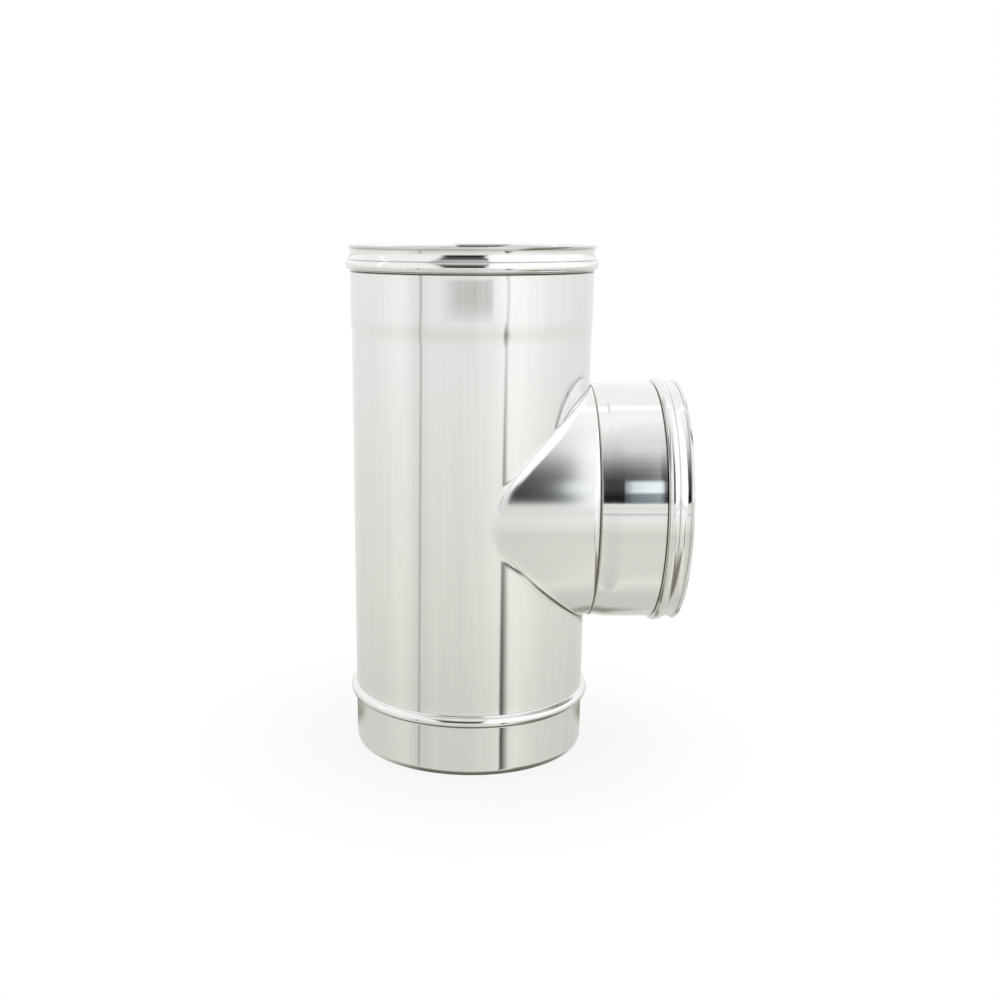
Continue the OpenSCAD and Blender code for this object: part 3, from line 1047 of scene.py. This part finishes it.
def tent_above(tree, axes, azimuth, height):
    """Soft white tent, open in front where the camera stands: the sheet mirrors that gap as dark."""
    panel = product(tree, window(tree, azimuth, 14, 125, 6, 40), window(tree, height, 3, 64, 4, 20))

    # The gap fades upwards, where the tent closes overhead. Beside it stands a lamp over a pale haze
    front = soft_step(tree, axes["Y"], 0.05, -0.05)
    across = window(tree, axes["X"], -0.47, 0.195, 0.13, 0.02)
    dark = ramp(tree, height, 0, 90, GAP_DARK)
    gap = product(tree, across, front, dark, soft_step(tree, height, 6.9, 7.7))
    beside = product(tree, window(tree, axes["X"], 0.156, 0.2, 0.004, 0.03), front)

    # Strip of light overhead, by the turn about the X axis
    turn = add(tree, "ShaderNodeMath", {0: axes["Y"], 1: axes["Z"]}, operation="ARCTAN2").outputs["Value"]
    strip = window(tree, turn, *[math.radians(a) for a in (17, 22, 2, 2)])
    return layered(
        tree, (1.1, 1.11, 1.11),
        (soft_step(tree, height, 55, 80), (1.16, 1.17, 1.17)),
        (soft_step(tree, height, 5.6, 5.0), (0.92, 0.92, 0.9)),
        (panel, (1.28, 1.3, 1.33)),
        (gap, linear("#060607")),
        (product(tree, beside, window(tree, height, 7.3, 17, 0.8, 2)), linear("#87959D")),
        (product(tree, beside, window(tree, height, 17, 28, 2, 4)), (1.15, 1.25, 1.33)),
        (strip, (1.5, 1.5, 1.5)))


def table_below(tree, axes, azimuth, height):
    """Table and tent wall below eye level, brighter or duller to each side, with two dark joints."""
    warmth = layered(tree, (1.0, 1.005, 0.95), (soft_step(tree, height, -16, -5), (1.03, 1.035, 1.03)))
    tone = ramp(tree, azimuth, -180, 180, TABLE_AROUND)
    for factor in (ramp(tree, height, -90, 0, TABLE_LEVEL), warmth):
        node = add(tree, "ShaderNodeVectorMath", {0: tone, 1: factor}, operation="MULTIPLY")
        tone = node.outputs["Vector"]

    # Duller patch far in front, and a brown one low on the right
    ahead, distant = window(tree, azimuth, -23, 17, 22, 3), window(tree, height, -3.7, -2.0, 0.4, 0.6)
    aside, steep = soft_step(tree, axes["X"], 0.5, 0.65), window(tree, height, -72, -34, 12, 10)

    # Joint on the left: fine, straight and leaning a little
    low = soft_step(tree, height, -40, -30)
    lean = product(tree, height, 0.175)
    left = add(tree, "ShaderNodeMath", {0: azimuth, 1: lean}, operation="SUBTRACT").outputs["Value"]
    fine = window(tree, left, -49.9, -48.2, 0.8, 0.8)

    # Joint on the right: sharp on its left, softer and darker the lower it lies
    bend, end, dark = [ramp(tree, height, -25, 0, stops) for stops in (JOINT_BEND, JOINT_END, JOINT_DARK)]
    right = add(tree, "ShaderNodeMath", {0: azimuth, 1: bend}, operation="SUBTRACT").outputs["Value"]
    soft = product(tree, soft_step(tree, right, 28.2, 28.8), soft_step(tree, right, end, 28.8))
    return layered(
        tree, tone,
        (product(tree, ahead, distant, 0.65), linear("#8E928C")),
        (product(tree, aside, steep, 0.8), linear("#75675A")),
        (product(tree, fine, low), linear("#A3A5A0")),
        (product(tree, soft, low, dark), linear("#232422")))


def make_world():
    """Tent above the horizon and table below it, by the direction that the sheet mirrors."""
    world = bpy.data.worlds.new("tent")
    bpy.context.scene.world = world
    world.use_nodes = True
    tree = world.node_tree
    tree.nodes.clear()
    direction = add(tree, "ShaderNodeTexCoord").outputs["Generated"]
    axes = add(tree, "ShaderNodeSeparateXYZ", {"Vector": direction}).outputs
    ahead = product(tree, axes["Y"], -1.0)
    azimuth = add(tree, "ShaderNodeMath", {0: axes["X"], 1: ahead}, operation="ARCTAN2").outputs["Value"]
    height = add(tree, "ShaderNodeMath", {0: axes["Z"]}, operation="ARCSINE").outputs["Value"]
    azimuth, height = product(tree, azimuth, math.degrees(1)), product(tree, height, math.degrees(1))
    below = table_below(tree, axes, azimuth, height)
    above = tent_above(tree, axes, azimuth, height)
    tone = layered(tree, below, (soft_step(tree, height, -0.3, 0.3), above))
    rays = add(tree, "ShaderNodeLightPath").outputs
    light = add(tree, "ShaderNodeBackground", {
        "Color": layered(tree, tone, (rays["Is Camera Ray"], (1, 1, 1))), "Strength": 1.0})
    add(tree, "ShaderNodeOutputWorld", {"Surface": light.outputs["Background"]})


STEPS = (TEE_OT_main_tube, TEE_OT_branch_socket, TEE_OT_ring_weld, TEE_OT_seam_welds, TEE_OT_stage)
CLASSES = (SheetSizes, WeldSizes, Finish, *STEPS, TEE_PT_panel)


def register():
    for item in CLASSES:
        bpy.utils.register_class(item)
    bpy.types.Scene.tee_sheet = PointerProperty(type=SheetSizes)
    bpy.types.Scene.tee_weld = PointerProperty(type=WeldSizes)
    bpy.types.Scene.tee_finish = PointerProperty(type=Finish)


def unregister():
    for name in ("tee_sheet", "tee_weld", "tee_finish"):
        delattr(bpy.types.Scene, name)
    for item in reversed(CLASSES):
        bpy.utils.unregister_class(item)


def main():
    register()
    bpy.ops.tee.main_tube()
    bpy.ops.tee.branch_socket()
    bpy.ops.tee.ring_weld()
    bpy.ops.tee.seam_welds()
    bpy.ops.tee.stage()
    boxes = {"cad": CAD_BOX, "visual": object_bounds()}
    {name: [list(corner) for corner in box] for name, box in boxes.items()}


if __name__ == "__main__":
    main()
